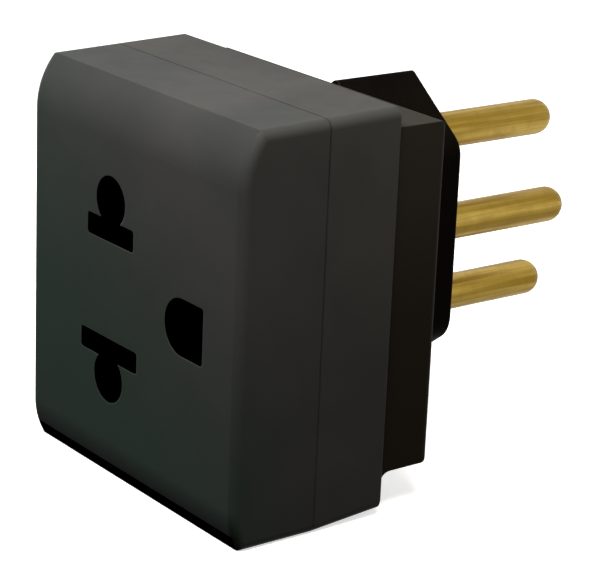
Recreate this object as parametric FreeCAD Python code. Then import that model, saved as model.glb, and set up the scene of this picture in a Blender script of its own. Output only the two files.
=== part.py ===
import FreeCAD, Part
import math
import os

from FreeCAD import Vector

os.makedirs("parts", exist_ok=True)

# All sizes are in millimetres. The origin is the centre of the plug's rear face. +Y points into the
# wall outlet, +Z is up, and +X is to the right of someone who faces the socket holes.

# Housing: a flat rectangular body split across its depth, with a lower block behind it
body_width = 38.3
body_height = 43.0
body_drop = 2.7
body_depth = 18.8
front_depth = 10.0
roll_radius = 8.5
top_roll_height = 5.7
bottom_roll_height = 4.2
topside_rise = 0.45
underside_rise = 0.7
side_rounding = 1.0
rear_bevel = 0.3
wall = 2.0
front_wall = 2.4
corner_inside = 1.2

# Block behind the body
block_depth = 6.5
block_side_inset = 0.6
block_top_inset = 2.15
block_drop = 19.75
block_wall = 1.9
block_rim_rounding = 1.1
block_root_fillet = 1.3

# Join between the two shells: a tongue on the front shell enters the rear shell's rim
tongue_height = 1.2
tongue_thickness = 0.9
tongue_clearance = 0.1
seam_gap = 0.08

# Plug: a six-sided insulator with three round pins, the earth pin set off the line of the other two
plug_reach = 10.9
plug_half_width = 8.6
plug_half_length = 16.9
plug_slope = 37.0
plug_corner_rounding = 3.0
plug_apex_rounding = 0.7
plug_edge_bevel = 0.5
neck_inset = 2.2
neck_clearance = 0.1
neck_rounding = 1.0
pin_radius = 2.0
pin_root_radius = 2.2
pin_length = 19.5
pin_spacing = 19.0
earth_offset = 3.0
pin_clearance = 0.05
tail_side = 1.8
tail_head_radius = 1.5
tail_head_height = 0.7

# Socket: two holes that take a round pin or a flat blade, and a D-shaped earth hole
socket_x = -3.75
socket_z = -3.45
round_spacing = 19.0
round_radius = 2.7
blade_spacing = 12.7
slot_height = 2.3
narrow_slot_width = 8.6
wide_slot_width = 10.6
slot_corner = 0.35
earth_hole_x = 13.2
earth_hole_radius = 3.0
earth_hole_flat = 3.7
guide_wall = 1.2
guide_length = 2.0

# Insulating ribs between the contacts
rib_thickness = 1.2
rib_x = 3.3
rib_wall_gap = 1.0
rib_rear_gap = 0.5

# Contacts: a flat strap on each pin, and on it a formed jaw backed by a steel spring
strap_thickness = 0.8
strap_margin = 0.5
strap_end_radius = 2.7
jaw_thickness = 0.5
jaw_width = 4.2
jaw_bend = 0.9
jaw_lip_depth = 6.0
jaw_grip_depth = 8.8
jaw_flare = 0.7
jaw_spread = 0.9
blade_thickness = 1.5
grip_preload = 0.15
earth_grip_radius = 2.3
spring_thickness = 0.3
spring_width = 3.2
spring_end_depth = 10.5
rivet_side = 1.5
rivet_head_radius = 1.4
rivet_head_height = 0.5
fastener_clearance = 0.05

# Housing screws, driven from the rear
screw_side_inset = 5.95
screw_top_inset = 5.45
screw_radius = 1.3
screw_length = 12.0
screw_tip_room = 1.0
screw_head_radius = 2.5
screw_head_height = 1.7
screw_sink = 3.0
screw_recess_width = 0.6
screw_recess_length = 2.8
screw_recess_depth = 0.9
well_clearance = 0.4
well_floor = 2.0
pillar_wall = 1.2
boss_radius = 3.1

# How far a piece that is fused to another reaches into it, how close two equal places lie, and the
# least turn (the sine of its angle) that counts as a bend
merge = 0.2
same_place = 0.01
least_turn = 1e-6

# How far round the front's rolls are drawn before the top and underside cut them
roll_sweep = math.radians(60)

# Places that follow from the sizes above
plug_root_y = -plug_reach
body_rear_y = plug_root_y - block_depth
front_y = body_rear_y - body_depth
seam_y = front_y + front_depth
block_inner_y = plug_root_y - block_wall
body_top = body_height / 2 - body_drop
body_bottom = -body_height / 2 - body_drop
half_width = body_width / 2
front_top = body_top - topside_rise
crease_y = front_y + roll_radius - math.sqrt(roll_radius ** 2 - top_roll_height ** 2)
block_top = body_top - block_top_inset
block_bottom = -block_drop
block_half_width = half_width - block_side_inset
screw_x = half_width - screw_side_inset
screw_z = block_top - screw_top_inset
root_step = block_bottom - body_bottom - underside_rise - rear_bevel
line_z = pin_spacing / 2
round_z = socket_z + round_spacing / 2
blade_z = socket_z + blade_spacing / 2
earth_x = socket_x + earth_hole_x
guide_end_y = front_y + front_wall + guide_length
strap_front_y = block_inner_y - strap_thickness
jaw_floor_y = strap_front_y - spring_thickness - jaw_thickness / 2
well_floor_y = plug_root_y - screw_sink - screw_head_height
pillar_end_y = well_floor_y - well_floor


def top_at(y):
    """The height of the body's sloping top at one depth."""
    return body_top - topside_rise * (body_rear_y - y) / (body_rear_y - crease_y)


def facing_rear(y):
    """Places a flat (x, z) outline at one depth."""
    return lambda a, b: Vector(a, y, b)


def facing_side(x):
    """Places a flat (y, z) outline at one distance from the middle."""
    return lambda a, b: Vector(x, a, b)


def unit(start, end):
    length = math.hypot(end[0] - start[0], end[1] - start[1])
    return (end[0] - start[0]) / length, (end[1] - start[1]) / length


def corner_arc(before, corner, after, radius):
    """The start, middle and end of the arc that rounds one corner of an outline."""
    back = unit(corner, before)
    ahead = unit(corner, after)
    half_angle = math.acos(back[0] * ahead[0] + back[1] * ahead[1]) / 2
    reach = radius / math.tan(half_angle)
    middle = unit((0, 0), (back[0] + ahead[0], back[1] + ahead[1]))
    sagitta = radius / math.sin(half_angle) - radius
    return (
        (corner[0] + back[0] * reach, corner[1] + back[1] * reach),
        (corner[0] + middle[0] * sagitta, corner[1] + middle[1] * sagitta),
        (corner[0] + ahead[0] * reach, corner[1] + ahead[1] * reach),
    )


def rounded_edges(points, radii, place, closed=True):
    """Straight edges through the points, with an arc of the given radius at each corner."""
    count = len(points)
    stops = []
    edges = []
    for index, (point, radius) in enumerate(zip(points, radii)):
        inner = closed or 0 < index < count - 1
        if inner and radius > 0:
            start, middle, end = corner_arc(points[index - 1], point, points[(index + 1) % count], radius)
            edges.append(Part.Arc(place(*start), place(*middle), place(*end)).toShape())
            stops.append((start, end))
        else:
            stops.append((point, point))
    for index in range(count if closed else count - 1):
        edges.append(Part.makeLine(place(*stops[index][1]), place(*stops[(index + 1) % count][0])))
    return edges


def face_of(edges):
    return Part.Face(Part.Wire(Part.__sortEdges__(edges)))


def plate(points, radii, start_y, end_y):
    """A plate with an (x, z) outline, between two depths."""
    face = face_of(rounded_edges(points, radii, facing_rear(start_y)))
    return face.extrude(Vector(0, end_y - start_y, 0))


def rectangle(left, right, bottom, top):
    return [(left, bottom), (right, bottom), (right, top), (left, top)]


def rod(radius, start_y, end_y, x=0.0, z=0.0):
    return Part.makeCylinder(radius, end_y - start_y, Vector(x, start_y, z), Vector(0, 1, 0))


def square_bar(side, start_y, end_y, x=0.0, z=0.0):
    half = side / 2
    return plate(rectangle(x - half, x + half, z - half, z + half), [0] * 4, start_y, end_y)


def joined(first, *others):
    return first.fuse(list(others)).removeSplitter()


def edges_where(shape, test):
    """The edges whose every vertex passes the test."""
    return [edge for edge in shape.Edges if all(test(vertex.Point) for vertex in edge.Vertexes)]


def near(value, target):
    return abs(value - target) < same_place


def mirrored_in_socket(shape):
    """The same shape on the other side of the socket's middle plane."""
    return shape.mirror(Vector(0, 0, socket_z), Vector(0, 0, 1))


def front_roll(flat_z, side, place):
    """The arc by which the front rolls back, run on past its crease; side is +1 at the top."""
    stops = []
    for angle in (0, roll_sweep / 2, roll_sweep):
        depth = roll_radius * (1 - math.cos(angle))
        stops.append(place(front_y + depth, flat_z + side * roll_radius * math.sin(angle)))
    return Part.Arc(*stops).toShape()


def round_sides(solid, test):
    """Rounds the edges of the two side faces that pass the test."""
    sides = edges_where(solid, lambda p: near(abs(p.x), half_width))
    return solid.makeFillet(
        side_rounding, [edge for edge in sides if edge.BoundBox.XLength < side_rounding and test(edge)])


def front_form():
    """The front face with its rolls, run on past where the slab's top and underside cut it."""
    place = facing_side(-half_width)
    flat_top = front_top - top_roll_height
    flat_bottom = body_bottom + bottom_roll_height
    top_roll = front_roll(flat_top, 1, place)
    bottom_roll = front_roll(flat_bottom, -1, place)
    top_end = top_roll.Vertexes[-1].Point
    bottom_end = bottom_roll.Vertexes[-1].Point
    far_top = place(plug_root_y, top_end.z)
    far_bottom = place(plug_root_y, bottom_end.z)
    edges = [
        Part.makeLine(place(front_y, flat_bottom), place(front_y, flat_top)),
        top_roll,
        Part.makeLine(top_end, far_top),
        Part.makeLine(far_top, far_bottom),
        Part.makeLine(far_bottom, bottom_end),
        bottom_roll,
    ]
    solid = face_of(edges).extrude(Vector(body_width, 0, 0))
    return round_sides(solid, lambda edge: edge.BoundBox.YMax < top_end.y + merge)


def slab_form():
    """The slab that the body's top, underside and rear make, run on past the front."""
    start_y = front_y - wall
    points = [
        (start_y, body_bottom), (seam_y, body_bottom), (body_rear_y, body_bottom + underside_rise),
        (body_rear_y, body_top), (start_y, top_at(start_y)),
    ]
    face = face_of(rounded_edges(points, [0] * len(points), facing_side(-half_width)))
    solid = face.extrude(Vector(body_width, 0, 0))
    return round_sides(solid, lambda edge: edge.BoundBox.YLength > wall)


def body_block():
    """The closed outer form of the body, with creases where its front rolls meet the slab."""
    solid = front_form().common(slab_form())
    return solid.makeChamfer(rear_bevel, edges_where(solid, lambda p: near(p.y, body_rear_y)))


def rear_block():
    """The lower block that stands behind the body and carries the plug."""
    outline = rectangle(-block_half_width, block_half_width, block_bottom, block_top)
    solid = plate(outline, [0] * 4, body_rear_y - wall, plug_root_y)
    rim = edges_where(solid, lambda p: near(p.y, plug_root_y))
    return solid.makeFillet(block_rim_rounding, rim)


def body_cavity():
    """The hollow inside the body, bounded by the front wall and the rear wall."""
    start_y = front_y + front_wall
    end_y = body_rear_y - wall
    points = [
        (start_y, body_bottom + wall),
        (end_y, body_bottom + wall + underside_rise),
        (end_y, body_top - wall),
        (start_y, front_top - wall),
    ]
    place = facing_side(wall - half_width)
    face = face_of(rounded_edges(points, [corner_inside, 0, 0, corner_inside], place))
    return face.extrude(Vector(body_width - 2 * wall, 0, 0))


def block_cavity():
    outline = rectangle(
        wall - block_half_width, block_half_width - wall, block_bottom + wall, block_top - wall)
    return plate(outline, [0] * 4, body_rear_y - 2 * wall, block_inner_y)


def rim_band(inner, outer, start_y, end_y):
    """A rectangular ring that follows the housing's side walls, between two insets."""
    rings = []
    for inset in (outer, inner):
        outline = rectangle(
            inset - half_width, half_width - inset, body_bottom + inset, top_at(seam_y) - inset)
        rings.append(plate(outline, [0] * 4, start_y, end_y))
    return rings[0].cut(rings[1])


def slab_between(start_y, end_y):
    reach = body_height
    return Part.makeBox(2 * reach, end_y - start_y, 2 * reach, Vector(-reach, start_y, -reach))


def housing():
    """The hollow housing before it is divided at the seam."""
    solid = joined(body_block(), rear_block())
    root = edges_where(solid, lambda p: near(p.y, body_rear_y) and near(p.z, block_bottom))
    solid = solid.makeFillet(min(block_root_fillet, root_step - merge), root)
    return solid.cut([body_cavity(), block_cavity()])


def hexagon(inset, corner_rounding, apex_rounding, start_y, end_y):
    """The plug's six-sided outline, drawn in by an even margin."""
    slope = math.radians(plug_slope)
    width = plug_half_width - inset
    apex = plug_half_length - inset / math.cos(slope)
    corner = apex - width * math.tan(slope)
    points = [
        (0, apex), (width, corner), (width, -corner),
        (0, -apex), (-width, -corner), (-width, corner),
    ]
    rounding = [apex_rounding, corner_rounding, corner_rounding] * 2
    return plate(points, rounding, start_y, end_y)


def keyhole(slot_width):
    """A round hole that opens into a flat slot below it, for the upper socket."""
    outline = rectangle(
        socket_x - slot_width / 2, socket_x + slot_width / 2,
        blade_z - slot_height / 2, blade_z + slot_height / 2)
    slot = plate(outline, [slot_corner] * 4, front_y - merge, guide_end_y + merge)
    return joined(slot, rod(round_radius, front_y - merge, guide_end_y + merge, socket_x, round_z))


def earth_hole():
    """The D-shaped earth hole: half round toward the slots, square on the far side."""
    radius = earth_hole_radius
    outline = rectangle(earth_x, earth_x + earth_hole_flat, socket_z - radius, socket_z + radius)
    square = plate(outline, [0, slot_corner, slot_corner, 0], front_y - merge, guide_end_y + merge)
    return joined(square, rod(radius, front_y - merge, guide_end_y + merge, earth_x, socket_z))


def socket_openings():
    lower = mirrored_in_socket(keyhole(wide_slot_width))
    return [keyhole(narrow_slot_width), lower, earth_hole()]


def guide(left, right, bottom, top):
    """A raised pad behind the front wall, an even margin wider than the opening it guides."""
    outline = rectangle(left - guide_wall, right + guide_wall, bottom - guide_wall, top + guide_wall)
    return plate(outline, [0] * 4, front_y + front_wall - merge, guide_end_y)


def keyhole_guide(slot_width):
    half = slot_width / 2
    return guide(socket_x - half, socket_x + half, blade_z - slot_height / 2, round_z + round_radius)


def guides():
    earth = guide(
        earth_x - earth_hole_radius, earth_x + earth_hole_flat,
        socket_z - earth_hole_radius, socket_z + earth_hole_radius)
    return [keyhole_guide(narrow_slot_width), mirrored_in_socket(keyhole_guide(wide_slot_width)), earth]


def screw_places():
    """The two screws sit on a diagonal, beside the plug."""
    return [(screw_x, screw_z), (-screw_x, -screw_z)]


def barrier_ribs():
    """Two crossed ribs in the front shell that keep the contacts apart."""
    start_y = front_y + front_wall
    end_y = body_rear_y - wall - rib_rear_gap
    inset = wall + rib_wall_gap
    low = body_bottom + inset
    high = front_top - inset
    half = rib_thickness / 2
    upright = Part.makeBox(rib_thickness, end_y - start_y, high - low, Vector(rib_x - half, start_y, low))
    length = rib_x + half_width - inset
    level = Part.makeBox(
        length, end_y - start_y, rib_thickness, Vector(inset - half_width, start_y, socket_z - half))
    return [upright, level]


def front_shell():
    shell = housing().common(slab_between(front_y - wall, seam_y - seam_gap))
    additions = guides() + barrier_ribs()
    additions.append(
        rim_band(wall, wall - tongue_thickness, seam_y - tongue_height, seam_y + tongue_height))
    for x, z in screw_places():
        additions.append(rod(boss_radius, front_y + front_wall, pillar_end_y, x, z))
    shell = joined(shell, *additions)
    for opening in socket_openings():
        shell = shell.cut(opening)
    for x, z in screw_places():
        hole_start = well_floor_y - screw_length - screw_tip_room
        shell = shell.cut(rod(screw_radius + fastener_clearance, hole_start, pillar_end_y, x, z))
    return shell.removeSplitter()


def rear_shell():
    shell = housing().common(slab_between(seam_y, plug_root_y))
    pillars = []
    pillar_radius = screw_head_radius + well_clearance + pillar_wall
    for x, z in screw_places():
        pillars.append(rod(pillar_radius, pillar_end_y, block_inner_y, x, z))
    shell = joined(shell, *pillars)
    groove = tongue_thickness + tongue_clearance
    groove_end = seam_y + tongue_height + tongue_clearance
    shell = shell.cut(rim_band(wall + underside_rise, wall - groove, seam_y, groove_end))
    for x, z in screw_places():
        shell = shell.cut(rod(screw_head_radius + well_clearance, well_floor_y, plug_root_y, x, z))
        shell = shell.cut(rod(screw_radius + fastener_clearance, pillar_end_y, well_floor_y, x, z))
    opening = hexagon(
        neck_inset - neck_clearance, neck_rounding, neck_rounding, block_inner_y, plug_root_y)
    return shell.cut(opening).removeSplitter()


def pin_places():
    return {"line": (0.0, line_z), "neutral": (0.0, -line_z), "earth": (earth_offset, 0.0)}


def plug_base():
    """The six-sided insulator: its neck passes through the housing, its shoulder rests on it."""
    base = hexagon(0, plug_corner_rounding, plug_apex_rounding, plug_root_y, 0)
    rim = edges_where(base, lambda p: near(p.y, 0))
    base = base.makeChamfer(plug_edge_bevel, rim)
    neck = hexagon(neck_inset, neck_rounding, neck_rounding, block_inner_y, plug_root_y)
    base = joined(base, neck)
    for x, z in pin_places().values():
        base = base.cut(rod(pin_root_radius + pin_clearance, block_inner_y, 0, x, z))
    return base


def pin(x, z):
    """A round-ended pin with a thicker root in the insulator and a square tail swaged over its strap."""
    shank = rod(pin_radius, 0, pin_length - pin_radius)
    root = rod(pin_root_radius, block_inner_y, 0)
    tip = Part.makeSphere(pin_radius, Vector(0, pin_length - pin_radius, 0), Vector(0, 1, 0))
    tail = square_bar(tail_side, strap_front_y, block_inner_y)
    head = rod(tail_head_radius, strap_front_y - tail_head_height, strap_front_y)
    shape = joined(shank, tip, root, tail, head)
    shape.translate(Vector(x, 0, z))
    return shape


def offset_path(path, offset, bend):
    """Shifts a bent strip's path sideways, and gives the radius that each bend has there."""
    points = []
    radii = []
    for index, point in enumerate(path):
        before = unit(path[index - 1], point) if index > 0 else unit(point, path[1])
        after = unit(point, path[index + 1]) if index < len(path) - 1 else before
        across = (-before[1] - after[1], before[0] + after[0])
        scale = offset / (across[0] * -before[1] + across[1] * before[0])
        points.append((point[0] + across[0] * scale, point[1] + across[1] * scale))
        turn = before[0] * after[1] - before[1] * after[0]
        radii.append(bend - math.copysign(offset, turn * offset) if abs(turn) > least_turn else 0)
    return points, radii


def formed_strip(path, near_side, far_side, bend, width, x):
    """Sheet metal bent along a (y, z) path, between two offsets to the left of the path."""
    place = facing_side(x - width / 2)
    sides = []
    ends = []
    for offset in (near_side, far_side):
        points, radii = offset_path(path, offset, bend)
        sides += rounded_edges(points, radii, place, closed=False)
        ends.append((points[0], points[-1]))
    for first, second in zip(*ends):
        sides.append(Part.makeLine(place(*first), place(*second)))
    return face_of(sides).extrude(Vector(width, 0, 0))


def leaf(grip_z, side):
    """One leaf of a jaw from its lip back to its root; side is +1 above the pin and -1 below it."""
    return [
        (front_y + jaw_lip_depth, grip_z + side * jaw_flare),
        (front_y + jaw_grip_depth, grip_z),
        (jaw_floor_y, grip_z + side * jaw_spread),
    ]


def power_grip():
    """Where the outer, middle and inner leaves of the upper jaw run, by their middle surfaces."""
    half_sheet = jaw_thickness / 2
    outer = round_z + pin_radius - grip_preload + half_sheet
    inner = blade_z - blade_thickness / 2 + grip_preload - half_sheet
    middle = (round_z - pin_radius + blade_z + blade_thickness / 2) / 2
    return outer, middle, inner


def power_path():
    outer, _, inner = power_grip()
    return leaf(outer, 1) + leaf(inner, -1)[::-1]


def earth_path():
    reach = earth_grip_radius - grip_preload + jaw_thickness / 2
    return leaf(socket_z + reach, 1) + leaf(socket_z - reach, -1)[::-1]


def jaw(path, x):
    return formed_strip(path, -jaw_thickness / 2, jaw_thickness / 2, jaw_bend, jaw_width, x)


def spring(path, x):
    """A steel spring that lies along the outside of a jaw and stops short of its lips."""
    start = jaw_thickness / 2
    band = formed_strip(path, start, start + spring_thickness, jaw_bend, spring_width, x)
    return band.common(slab_between(front_y + spring_end_depth, 0))


def power_jaw():
    _, middle, _ = power_grip()
    half = jaw_width / 2
    length = jaw_floor_y - front_y - jaw_grip_depth
    blade_leaf = Part.makeBox(
        jaw_width, length, jaw_thickness,
        Vector(socket_x - half, front_y + jaw_grip_depth, middle - jaw_thickness / 2))
    return joined(jaw(power_path(), socket_x), blade_leaf)


def rivet(x, z):
    """A rivet with a square neck, so that the jaw and spring under its head can't turn."""
    head_y = jaw_floor_y - jaw_thickness / 2
    head = rod(rivet_head_radius, head_y - rivet_head_height, head_y, x, z)
    return joined(head, square_bar(rivet_side, head_y, block_inner_y, x, z))


def rivet_hole(x, z):
    side = rivet_side + 2 * fastener_clearance
    return square_bar(side, jaw_floor_y - jaw_thickness, block_inner_y, x, z)


def strap(pin_x, pin_z, jaw_x, rivet_z, jaw_ends):
    """A flat conductor from a pin's tail to the jaw that stands on it."""
    half = jaw_width / 2 + strap_margin
    seat = plate(
        rectangle(jaw_x - half, jaw_x + half, min(jaw_ends) - strap_margin, max(jaw_ends) + strap_margin),
        [0] * 4, strap_front_y, block_inner_y)
    pin_end = rod(strap_end_radius, strap_front_y, block_inner_y, pin_x, pin_z)
    direction = unit((pin_x, pin_z), (jaw_x, rivet_z))
    side = (-direction[1] * strap_end_radius, direction[0] * strap_end_radius)
    bridge = plate(
        [
            (pin_x + side[0], pin_z + side[1]), (jaw_x + side[0], rivet_z + side[1]),
            (jaw_x - side[0], rivet_z - side[1]), (pin_x - side[0], pin_z - side[1]),
        ],
        [0] * 4, strap_front_y, block_inner_y)
    shape = joined(seat, bridge, pin_end)
    tail_hole = square_bar(
        tail_side + 2 * fastener_clearance, strap_front_y, block_inner_y, pin_x, pin_z)
    return shape.cut([tail_hole, rivet_hole(jaw_x, rivet_z)])


def screw(x, z):
    """A cross-recess screw whose head bears on the floor of its well."""
    shank = rod(screw_radius, well_floor_y - screw_length, well_floor_y, x, z)
    top_y = well_floor_y + screw_head_height
    shape = joined(shank, rod(screw_head_radius, well_floor_y, top_y, x, z))
    recess_y = top_y - screw_recess_depth
    for width, height in (
        (screw_recess_width, screw_recess_length), (screw_recess_length, screw_recess_width),
    ):
        corner = Vector(x - width / 2, recess_y, z - height / 2)
        shape = shape.cut(Part.makeBox(width, screw_recess_depth, height, corner))
    return shape


def contact_parts():
    """The jaw, spring, strap and rivet of each pole."""
    outer, middle, _ = power_grip()
    rivet_z = (outer + middle) / 2
    power_ends = (power_path()[2][1], power_path()[3][1])
    earth_ends = (earth_path()[2][1], earth_path()[3][1])
    flip = 2 * socket_z
    places = pin_places()
    power_hole = rivet_hole(socket_x, rivet_z)
    upper_jaw = power_jaw().cut(power_hole)
    upper_spring = spring(power_path(), socket_x).cut(power_hole)
    earth_cut = rivet_hole(earth_x, socket_z)
    return {
        "jaw_line": upper_jaw,
        "jaw_neutral": mirrored_in_socket(upper_jaw),
        "jaw_earth": jaw(earth_path(), earth_x).cut(earth_cut),
        "spring_line": upper_spring,
        "spring_neutral": mirrored_in_socket(upper_spring),
        "spring_earth": spring(earth_path(), earth_x).cut(earth_cut),
        "strap_line": strap(*places["line"], socket_x, rivet_z, power_ends),
        "strap_neutral": strap(
            *places["neutral"], socket_x, flip - rivet_z, [flip - end for end in power_ends]),
        "strap_earth": strap(*places["earth"], earth_x, socket_z, earth_ends),
        "rivet_line": rivet(socket_x, rivet_z),
        "rivet_neutral": rivet(socket_x, flip - rivet_z),
        "rivet_earth": rivet(earth_x, socket_z),
    }


def all_parts():
    parts = {
        "front_shell": front_shell(),
        "rear_shell": rear_shell(),
        "plug_base": plug_base(),
    }
    for pole, (x, z) in pin_places().items():
        parts["pin_" + pole] = pin(x, z)
    parts.update(contact_parts())
    for name, (x, z) in zip(("screw_upper", "screw_lower"), screw_places()):
        parts[name] = screw(x, z)
    return parts


for name, shape in all_parts().items():
    print(name, "solids", len(shape.Solids), "valid", shape.isValid(), "volume", round(shape.Volume, 2))
    shape.exportStep("parts/" + name + ".step")
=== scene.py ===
import math

import bpy
from mathutils import Matrix, Vector


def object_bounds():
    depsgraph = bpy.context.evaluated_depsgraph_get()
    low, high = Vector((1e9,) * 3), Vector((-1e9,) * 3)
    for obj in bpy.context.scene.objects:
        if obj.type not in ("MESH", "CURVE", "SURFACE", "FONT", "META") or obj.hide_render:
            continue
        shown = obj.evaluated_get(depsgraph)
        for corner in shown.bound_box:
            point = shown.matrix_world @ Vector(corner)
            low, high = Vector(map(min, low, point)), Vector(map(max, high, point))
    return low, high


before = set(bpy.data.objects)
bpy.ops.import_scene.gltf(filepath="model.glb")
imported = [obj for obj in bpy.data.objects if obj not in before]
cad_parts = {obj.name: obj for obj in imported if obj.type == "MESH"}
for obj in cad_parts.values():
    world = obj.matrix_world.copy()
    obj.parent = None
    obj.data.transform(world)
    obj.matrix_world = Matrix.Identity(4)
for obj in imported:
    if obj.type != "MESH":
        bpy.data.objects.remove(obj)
cad_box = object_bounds()

# All lengths are in metres. The origin is the centre of the plug's rear face, as in the solids.
# +Y points into the wall outlet, +Z is up, and +X is to the right of someone who faces the socket holes.
MM = 0.001

# Places on the housing at which its painted shade changes
FRONT = cad_box[0][1]
BOTTOM = cad_box[0][2]
HALF_WIDTH = cad_box[1][0]
SEAM = FRONT + 10.0 * MM
BODY_REAR = -17.4 * MM
SHELL_INSIDE = 17.5 * MM
OPENINGS_TOP = 11.0 * MM
OPENINGS_BOTTOM = -19.0 * MM

# Over what depth an opening's wall turns black behind the front, as painted shade in the openings
OPENING_EDGE = 0.04 * MM

# Bottom front roll, darkened and then turned black as painted shade under the front: its size, the heights
# above the bottom at which it is darkest and at which it turns black, what share of its colour is lost before
# that, and how far in from the sides this begins
ROLL_HEIGHT = 4.2 * MM
ROLL_DEPTH = 1.15 * MM
DUSK_FULL = 1.7 * MM
DUSK_LOSS = 0.73
BLACK_BEGINS = 1.9 * MM
BLACK_FULL = 1.6 * MM
ROLL_SIDE_FADE = 0.8 * MM

# Seam, darkened as painted shade in the joint: how far from its middle it begins to darken and is darkest,
# and what share of its colour is lost
SEAM_EDGE = 0.16 * MM
SEAM_CORE = 0.06 * MM
SEAM_LOSS = 0.4

# Block behind the body, with painted shade that makes it darker than the body and darker still toward its
# bottom: half of the depth over which this painted shade takes over, how much gloss it keeps, and the heights
# between which it turns from brown to grey
BLOCK_EDGE = 0.05 * MM
BLOCK_GLOSS = 0.35
BROWN_BELOW = -4 * MM
GREY_ABOVE = 10 * MM

# The front's painted shade, darker and cooler toward its lower left: how much a step to the right counts
# against a step up, where it ends and where it is full on that slanted height, and how far behind the front
# it is still full and has ended
CAST_SLANT = 0.7
CAST_ENDS = 12 * MM
CAST_FULL = -16 * MM
CAST_FULL_DEPTH = 1 * MM
CAST_END_DEPTH = 8 * MM

# Moulded plastic: refraction, the sizes of what its surface shows, and its relief
PLASTIC_IOR = 1.46
CLOUD_SIZE = 14 * MM
SPECKLE_SIZE = 0.22 * MM
SMUDGE_SIZE = 5 * MM
SCUFFS_PER_METRE = (70, 2600, 900)
SCUFF_TURN = (8, 0, 24)
EDGE_SOFTNESS = 0.16 * MM
EDGE_SAMPLES = 8
GRAIN_SIZE = 0.16 * MM
GRAIN_STRENGTH = 0.6
RIPPLE_SIZE = 9 * MM
RIPPLE_DEPTH = 0.05 * MM
RIPPLE_STRENGTH = 0.25

# Drawn metals: features in a metre along x, y and z, and relief
BRASS_BANDS = (1100, 25, 1100)
BRASS_STREAKS = (6500, 160, 6500)
BRASS_RINGS = (60, 7000, 60)
BRASS_PATCH_SIZE = 2.4 * MM
BRASS_PIT_SIZE = 0.3 * MM
BRASS_STREAK_DEPTH = 0.008 * MM
BRASS_RING_DEPTH = 0.006 * MM
BRASS_RING_STRENGTH = 0.45
STEEL_STREAKS = (7000, 400, 7000)
STEEL_PATCH_SIZE = 1.8 * MM
STEEL_STREAK_DEPTH = 0.006 * MM
STREAK_STRENGTH = 0.5

# Ranges that spread() maps: the values of the source that become 0 and 1, or the two that follow them
SHARP = (0.995, 0.9)
CLOUDED = (0.35, 0.65)
SPECKLED = (0.62, 0.75)
WORN = (0.3, 0.7, 0.02, 0.16)
SMUDGED = (0.40, 0.66, -0.02, 0.03)
SCUFFED = (0.66, 0.74, 0.0, 0.06)
BANDED = (0.36, 0.64)
BRASS_PATCHED = (0.45, 0.75)
BRASS_PITTED = (0.62, 0.74)
BRASS_STREAKED = (0.52, 0.70, 0.0, 0.35)
BRASS_STREAK_SHINE = (0.3, 0.7, -0.06, 0.08)
STEEL_PATCHED = (0.35, 0.7)
STEEL_SHINE = (0.3, 0.7, 0.24, 0.42)

# How much the brass's pits dull its colour, and its patches its shine
PIT_DULLNESS = 0.25
PATCH_DULLNESS = 0.08

# The camera was fitted to the photograph: where it looks, from which side, and how far away
LOOK_AT = Vector((-4.27, -11.2, -7.4)) * MM
CAMERA_DISTANCE = 255.58 * MM
CAMERA_AZIMUTH = 52.51
CAMERA_ELEVATION = 18.23
CAMERA_ROLL = 2.44
FOCAL_PIXELS = 2336.26
IMAGE_WIDTH = 600
SENSOR_WIDTH = 36.0
NEAREST_SEEN = 10 * MM

# Lights: where they aim, and the size of the soft boxes above
LIGHT_AIM = (0.0, -0.022, 0.0)
REAR_AIM = (0.0, 0.0, -0.003)
SOFT_BOX = 0.055
WARM = (1.05, 0.97, 0.88)

# Studio light that reaches surfaces from ahead and from behind, where 1 is white
DIM_AHEAD = 0.03
DIM_BEHIND = 0.8

# Floor: half its side, its own glow near the part and beyond the shadow's reach from the origin, and its
# glow in reflections
FLOOR_HALF_SIDE = 4.0
GLOW_NEAR = 0.60
GLOW_FAR = 1.0
SHADOW_REACH = 140 * MM
GLOW_IN_REFLECTIONS = 0.9


def linear(red, green, blue):
    """A colour given as 0 to 255 screen values, as the scene-linear colour that a shader takes."""
    def channel(value):
        part = value / 255
        return part / 12.92 if part <= 0.04045 else ((part + 0.055) / 1.055) ** 2.4
    return channel(red), channel(green), channel(blue), 1.0


# Colours. Where a name has two, the finish clouds between them.
WHITE = (1.0, 1.0, 1.0, 1.0)
BLACK = (0.0, 0.0, 0.0, 1.0)
FRONT_PLASTIC = linear(37, 38, 37), linear(43, 43, 42)
# Painted shade: the darker and cooler colour of the front's lower left
FRONT_PAINTED_SHADE = linear(30, 41, 35)
REAR_PLASTIC = linear(39, 39, 38), linear(45, 45, 43)
# Painted shade on the block: grey toward its top, darker and browner toward its bottom
BLOCK_GREY = (0.0138, 0.0127, 0.0102, 1.0)
BLOCK_BROWN = (0.0098, 0.0079, 0.0052, 1.0)
PLUG_PLASTIC = linear(4, 3, 2), linear(7, 5, 3)
SPECKLE_GREY = linear(120, 120, 114)
WORN_GREY = linear(104, 104, 99)
BRIGHT_BRASS = linear(196, 166, 84)
OLIVE_BRASS = linear(142, 114, 40)
DULL_BRASS = linear(112, 84, 34)
BRIGHT_STEEL = linear(188, 188, 190)
DULL_STEEL = linear(140, 140, 138)
STUDIO_WARM = (1.0, 0.98, 0.93, 1.0)
FLOOR_PALE = (0.9, 0.9, 0.9, 1.0)
FLOOR_BOUNCE = (0.01, 0.01, 0.01, 1.0)


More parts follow.
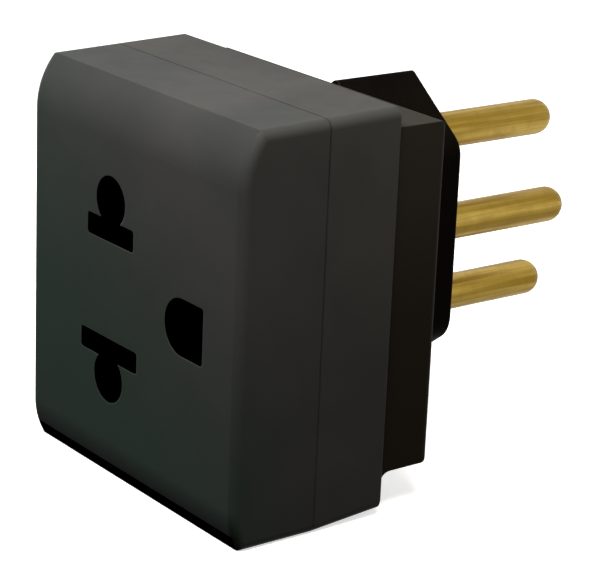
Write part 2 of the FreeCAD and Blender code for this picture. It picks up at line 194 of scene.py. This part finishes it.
class Graph:
    """A node tree, with short ways to add the nodes that finishes, backdrop and floor share."""

    def __init__(self, owner, place="Object", emptied=True):
        owner.use_nodes = True
        self.nodes = owner.node_tree.nodes
        self.links = owner.node_tree.links
        if emptied:
            self.nodes.clear()
        self.place = self.add("TexCoord").outputs[place]

    def add(self, kind, inputs=None, **settings):
        """A node of a kind, with its settings, and with values or other nodes' outputs on its inputs."""
        node = self.nodes.new("ShaderNode" + kind)
        for name, value in settings.items():
            setattr(node, name, value)
        for name, value in (inputs or {}).items():
            self.wire(value, node.inputs[name])
        return node

    def wire(self, value, socket):
        """Joins an output to a socket, or sets a plain value on it."""
        if isinstance(value, bpy.types.NodeSocket):
            self.links.new(value, socket)
        else:
            socket.default_value = value

    def coordinates(self):
        """The place's x, y and z."""
        return self.add("SeparateXYZ", {"Vector": self.place}).outputs

    def spread(self, value, low, high, to_low=0.0, to_high=1.0):
        """Maps a range of a value onto another range, and holds it there."""
        return self.add("MapRange", {
            "Value": value, "From Min": low, "From Max": high, "To Min": to_low, "To Max": to_high,
        }).outputs["Result"]

    def calculate(self, operation, first, *others):
        """One operation on a value, or on several from left to right."""
        for other in others or (0.0,):
            first = self.add("Math", {0: first, 1: other}, operation=operation).outputs["Value"]
        return first

    def rays(self, *kinds):
        """1 for rays of any of these kinds."""
        path = self.add("LightPath")
        return self.calculate("MAXIMUM", *(path.outputs[kind] for kind in kinds))

    def choose(self, switch, otherwise, chosen):
        """One shader where the switch is 0, and another where it is 1."""
        return self.add("MixShader", {"Fac": switch, 1: otherwise, 2: chosen}).outputs["Shader"]


class Surface(Graph):
    """A material's nodes, with the textures and reliefs that the finishes share."""

    def __init__(self, name, metallic=0.0):
        self.material = bpy.data.materials.new(name)
        super().__init__(self.material, emptied=False)
        self.shader = self.nodes["Principled BSDF"]
        self.shader.inputs["Metallic"].default_value = metallic

    def noise(self, size, detail, distortion=0.0):
        """Soft noise whose features are about this size in metres."""
        return self.add("TexNoise", {
            "Vector": self.place, "Scale": 1 / size, "Detail": detail, "Distortion": distortion,
        }).outputs["Fac"]

    def streaks(self, per_metre, detail, turn=(0, 0, 0)):
        """Noise drawn out into streaks, from how many a metre holds along x, y and z, turned by degrees."""
        stretched = self.add("Mapping", {
            "Vector": self.place, "Scale": per_metre, "Rotation": [math.radians(angle) for angle in turn],
        }).outputs["Vector"]
        return self.add("TexNoise", {"Vector": stretched, "Scale": 1.0, "Detail": detail}).outputs["Fac"]

    def blend(self, amount, first, second):
        """A mix of two colours."""
        inputs = {"Factor": amount, "A": first, "B": second}
        return self.add("Mix", inputs, data_type="RGBA").outputs["Result"]

    def relief(self, height, depth, strength, over=None):
        """Bump of a depth in metres, laid over an earlier one if there is one."""
        inputs = {"Strength": strength, "Distance": depth, "Height": height}
        if over is not None:
            inputs["Normal"] = over
        return self.add("Bump", inputs).outputs["Normal"]

    def softened(self, radius):
        """The surface's direction with its sharp edges eased, as a mould leaves them."""
        return self.add("Bevel", {"Radius": radius}, samples=EDGE_SAMPLES).outputs["Normal"]

    def edges(self, softened):
        """Near 1 along sharp edges, and 0 on flat ground."""
        flat = self.add("NewGeometry").outputs["Normal"]
        alike = self.add("VectorMath", {0: softened, 1: flat}, operation="DOT_PRODUCT")
        return self.spread(alike.outputs["Value"], *SHARP)

    def finish(self, colour, roughness, normal):
        """Puts the last colour, roughness and direction on the shader, and gives the material."""
        self.wire(colour, self.shader.inputs["Base Color"])
        self.wire(roughness, self.shader.inputs["Roughness"])
        self.wire(normal, self.shader.inputs["Normal"])
        return self.material


def lower_left_shade(surface):
    """How near the front's lower left a point is, where the front gets a darker and cooler painted shade."""
    x, y, z = surface.coordinates()
    slant = surface.calculate("ADD", z, surface.calculate("MULTIPLY", x, CAST_SLANT))
    return surface.calculate(
        "MULTIPLY",
        surface.spread(slant, CAST_ENDS, CAST_FULL),
        surface.spread(y, FRONT + CAST_END_DEPTH, FRONT + CAST_FULL_DEPTH),
    )


def housing_painted_shade(surface):
    """Painted shade: what share of its colour the housing loses in the openings, along the bottom roll and at
    the seam.
    """
    x, y, z = surface.coordinates()
    across = surface.calculate("ABSOLUTE", x)
    # Painted shade: the openings' walls turn black behind the front
    opening_shade = surface.calculate(
        "MULTIPLY",
        surface.spread(y, FRONT, FRONT + OPENING_EDGE),
        surface.calculate("LESS_THAN", across, SHELL_INSIDE),
        surface.calculate("LESS_THAN", z, OPENINGS_TOP),
        surface.calculate("GREATER_THAN", z, OPENINGS_BOTTOM),
        surface.calculate("LESS_THAN", y, BODY_REAR),
    )
    # Painted shade under the front: the bottom roll darkens, then turns black toward the bottom
    dusk = surface.spread(z, BOTTOM + ROLL_HEIGHT, BOTTOM + DUSK_FULL, 0.0, DUSK_LOSS)
    black = surface.spread(z, BOTTOM + BLACK_BEGINS, BOTTOM + BLACK_FULL)
    roll_shade = surface.calculate(
        "MULTIPLY",
        surface.calculate("MAXIMUM", dusk, black),
        surface.calculate("LESS_THAN", y, FRONT + ROLL_DEPTH),
        surface.spread(across, HALF_WIDTH, HALF_WIDTH - ROLL_SIDE_FADE),
    )
    # Painted shade along the seam between the shells
    from_seam = surface.calculate("ABSOLUTE", surface.calculate("SUBTRACT", y, SEAM))
    seam_shade = surface.spread(from_seam, SEAM_EDGE, SEAM_CORE, 0.0, SEAM_LOSS)
    return surface.calculate("MAXIMUM", opening_shade, roll_shade, seam_shade)


def housing_tones(surface, base, specular):
    """The housing's plastic with painted shade on its block, openings, bottom roll and seam, which also lose
    gloss.
    """
    y, z = surface.coordinates()[1:]
    # Painted shade on the block: darker than the body, darker and browner toward its bottom, and with less
    # gloss
    block = surface.spread(y, BODY_REAR - BLOCK_EDGE, BODY_REAR + BLOCK_EDGE)
    block_shade = surface.blend(surface.spread(z, BROWN_BELOW, GREY_ABOVE), BLOCK_BROWN, BLOCK_GREY)
    lost = housing_painted_shade(surface)
    gloss = surface.calculate(
        "MULTIPLY",
        surface.spread(lost, 0.0, 1.0, specular, 0.0),
        surface.spread(block, 0.0, 1.0, 1.0, BLOCK_GLOSS),
    )
    surface.wire(gloss, surface.shader.inputs["Specular IOR Level"])
    return surface.blend(lost, surface.blend(block, base, block_shade), BLACK)


def moulded_plastic(name, colours, roughness, grain_depth, specular, speckles, housing=False, painted_shade=None):
    """Satin moulded plastic: fine mould grain, faint clouds, handling smudges, scuffs, worn edges, and where
    asked painted shade on the housing and on the front's lower left.
    """
    surface = Surface(name)
    surface.shader.inputs["IOR"].default_value = PLASTIC_IOR
    surface.shader.inputs["Specular IOR Level"].default_value = specular
    clouds = surface.noise(CLOUD_SIZE, detail=3.0, distortion=0.4)
    base = surface.blend(surface.spread(clouds, *CLOUDED), *colours)
    # Painted shade, darker and cooler toward the front's lower left
    if painted_shade is not None:
        base = surface.blend(lower_left_shade(surface), base, painted_shade)
    speckle = surface.spread(surface.noise(SPECKLE_SIZE, detail=1.0), *SPECKLED)
    base = surface.blend(surface.calculate("MULTIPLY", speckle, speckles), base, SPECKLE_GREY)
    softened = surface.softened(EDGE_SOFTNESS)
    wear = surface.calculate("MULTIPLY", surface.edges(softened), surface.spread(clouds, *WORN))
    base = surface.blend(wear, base, WORN_GREY)
    # Painted shade on the housing's openings, bottom roll, seam and block
    if housing:
        base = housing_tones(surface, base, specular)
    smudges = surface.spread(surface.noise(SMUDGE_SIZE, detail=5.0, distortion=1.2), *SMUDGED)
    scuffs = surface.spread(surface.streaks(SCUFFS_PER_METRE, detail=2.0, turn=SCUFF_TURN), *SCUFFED)
    shine = surface.calculate("ADD", smudges, roughness, scuffs)
    grain = surface.relief(surface.noise(GRAIN_SIZE, detail=2.0), grain_depth, GRAIN_STRENGTH, over=softened)
    ripple = surface.relief(surface.noise(RIPPLE_SIZE, detail=1.0), RIPPLE_DEPTH, RIPPLE_STRENGTH, over=grain)
    return surface.finish(base, shine, ripple)


def brass(name, polish, tarnish):
    """Brass drawn along its length: bright and olive bands that run with the tool marks, a few dull spots."""
    surface = Surface(name, metallic=1.0)
    bands = surface.streaks(BRASS_BANDS, detail=3.0)
    base = surface.blend(surface.spread(bands, *BANDED), BRIGHT_BRASS, OLIVE_BRASS)
    patches = surface.spread(surface.noise(BRASS_PATCH_SIZE, detail=4.0, distortion=0.8), *BRASS_PATCHED)
    base = surface.blend(surface.calculate("MULTIPLY", patches, tarnish), base, DULL_BRASS)
    pits = surface.spread(surface.noise(BRASS_PIT_SIZE, detail=2.0), *BRASS_PITTED)
    base = surface.blend(surface.calculate("MULTIPLY", pits, PIT_DULLNESS), base, DULL_BRASS)
    streaks = surface.streaks(BRASS_STREAKS, detail=2.0)
    base = surface.blend(surface.spread(streaks, *BRASS_STREAKED), base, OLIVE_BRASS)
    dulled = surface.calculate("MULTIPLY", patches, PATCH_DULLNESS)
    shine = surface.calculate("ADD", surface.spread(streaks, *BRASS_STREAK_SHINE), polish, dulled)
    marks = surface.relief(streaks, BRASS_STREAK_DEPTH, STREAK_STRENGTH)
    rings = surface.streaks(BRASS_RINGS, detail=1.0)
    marks = surface.relief(rings, BRASS_RING_DEPTH, BRASS_RING_STRENGTH, over=marks)
    return surface.finish(base, shine, marks)


def steel(name):
    """Plated steel with a fine drawn grain and dull patches."""
    surface = Surface(name, metallic=1.0)
    patches = surface.spread(surface.noise(STEEL_PATCH_SIZE, detail=4.0), *STEEL_PATCHED)
    base = surface.blend(patches, BRIGHT_STEEL, DULL_STEEL)
    streaks = surface.streaks(STEEL_STREAKS, detail=2.0)
    marks = surface.relief(streaks, STEEL_STREAK_DEPTH, STREAK_STRENGTH)
    return surface.finish(base, surface.spread(streaks, *STEEL_SHINE), marks)


def dress(prefix, material):
    """Gives a finish to every solid whose name starts this way."""
    for name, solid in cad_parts.items():
        if name.startswith(prefix):
            solid.data.materials.clear()
            solid.data.materials.append(material)


def dress_all():
    shell = {"roughness": 0.46, "grain_depth": 0.012 * MM, "specular": 0.03, "speckles": 0.02}
    front = moulded_plastic("front_plastic", FRONT_PLASTIC, **shell, housing=True, painted_shade=FRONT_PAINTED_SHADE)
    dress("front_shell", front)
    dress("rear_shell", moulded_plastic("rear_plastic", REAR_PLASTIC, **shell, housing=True))
    dress("plug_base", moulded_plastic(
        "plug_plastic", PLUG_PLASTIC, roughness=0.5, grain_depth=0.008 * MM, specular=0.01, speckles=0.01))
    dress("pin", brass("pin_brass", polish=0.38, tarnish=0.3))
    contact = brass("contact_brass", polish=0.30, tarnish=0.35)
    for prefix in ("jaw", "strap", "rivet"):
        dress(prefix, contact)
    plated = steel("plated_steel")
    for prefix in ("spring", "screw"):
        dress(prefix, plated)


def add_camera():
    """The photograph's camera, from its direction, roll and distance."""
    azimuth, elevation, roll = (
        math.radians(angle) for angle in (CAMERA_AZIMUTH, CAMERA_ELEVATION, CAMERA_ROLL))
    toward = Vector((
        math.sin(azimuth) * math.cos(elevation),
        -math.cos(azimuth) * math.cos(elevation),
        math.sin(elevation),
    ))
    level = Vector((0, 0, 1)).cross(toward).normalized()
    upright = toward.cross(level)
    right = math.cos(roll) * level + math.sin(roll) * upright
    up = math.cos(roll) * upright - math.sin(roll) * level
    data = bpy.data.cameras.new("camera")
    data.sensor_width = SENSOR_WIDTH
    data.lens = FOCAL_PIXELS * SENSOR_WIDTH / IMAGE_WIDTH
    data.clip_start = NEAREST_SEEN
    camera = bpy.data.objects.new("camera", data)
    turn = Matrix((right, up, toward)).transposed().to_4x4()
    camera.matrix_world = Matrix.Translation(LOOK_AT + toward * CAMERA_DISTANCE) @ turn
    bpy.context.scene.collection.objects.link(camera)
    bpy.context.scene.camera = camera


def add_area_light(name, position, aim, size, power, colour=WHITE[:3], mirrored=True):
    """A square soft light of this size and power in watts, hidden from the camera."""
    data = bpy.data.lights.new(name, "AREA")
    data.size = size
    data.energy = power
    data.color = colour
    light = bpy.data.objects.new(name, data)
    light.location = position
    light.rotation_euler = (Vector(aim) - Vector(position)).to_track_quat("-Z", "Y").to_euler()
    light.visible_camera = False
    light.visible_glossy = mirrored
    bpy.context.scene.collection.objects.link(light)


def add_lights():
    """Small soft boxes close above, so that the faces darken toward the floor, and fills left and behind."""
    add_area_light("front_left", (-0.0156, -0.0675, 0.1000), LIGHT_AIM, SOFT_BOX, power=0.0966)
    add_area_light("front", (0.0152, -0.0823, 0.1000), LIGHT_AIM, SOFT_BOX, power=0.1591)
    add_area_light("right", (0.0602, -0.0520, 0.1000), LIGHT_AIM, SOFT_BOX, power=0.2093, colour=WARM)
    add_area_light("left_fill", (-0.15, -0.02, 0.0), LIGHT_AIM, size=0.10, power=0.20)
    add_area_light("rear_fill", (0.0, 0.30, 0.0), REAR_AIM, size=0.03, power=0.7, mirrored=False)


def add_world():
    """White for the camera and in reflections, and a dim studio light that comes mostly from behind."""
    world = bpy.data.worlds.new("studio")
    bpy.context.scene.world = world
    graph = Graph(world, place="Generated")
    strength = graph.spread(graph.coordinates()["Y"], 0.0, 1.0, DIM_AHEAD, DIM_BEHIND)
    dim = graph.add("Background", {"Color": STUDIO_WARM, "Strength": strength})
    white = graph.add("Background", {"Color": WHITE})
    shown = graph.rays("Is Camera Ray", "Is Glossy Ray", "Is Transmission Ray")
    graph.add("OutputWorld", {
        "Surface": graph.choose(shown, dim.outputs["Background"], white.outputs["Background"])})


def add_floor():
    """A plain pale floor under the housing, lit to the white of the backdrop outside the shadow."""
    mesh = bpy.data.meshes.new("floor")
    side = FLOOR_HALF_SIDE
    corners = [(-side, -side, BOTTOM), (side, -side, BOTTOM), (side, side, BOTTOM), (-side, side, BOTTOM)]
    mesh.from_pydata(corners, [], [(0, 1, 2, 3)])
    floor = bpy.data.objects.new("floor", mesh)
    bpy.context.scene.collection.objects.link(floor)
    material = bpy.data.materials.new("floor")
    graph = Graph(material)
    outward = graph.add("VectorMath", {0: graph.place}, operation="LENGTH").outputs["Value"]
    lift = graph.spread(outward, SHADOW_REACH / 2, SHADOW_REACH, GLOW_NEAR, GLOW_FAR)
    glow = graph.add("Emission", {"Strength": lift}).outputs["Emission"]
    pale = graph.add("BsdfDiffuse", {"Color": FLOOR_PALE}).outputs["BSDF"]
    lit = graph.add("AddShader", {0: pale, 1: glow}).outputs["Shader"]
    bounce = graph.add("BsdfDiffuse", {"Color": FLOOR_BOUNCE}).outputs["BSDF"]
    mirrored = graph.add("Emission", {"Strength": GLOW_IN_REFLECTIONS}).outputs["Emission"]
    shown = graph.choose(graph.rays("Is Camera Ray"), bounce, lit)
    shown = graph.choose(graph.rays("Is Glossy Ray", "Is Transmission Ray"), shown, mirrored)
    graph.add("OutputMaterial", {"Surface": shown})
    mesh.materials.append(material)


dress_all()
add_camera()
add_lights()
add_world()
add_floor()

bpy.context.scene.view_settings.view_transform = "Standard"
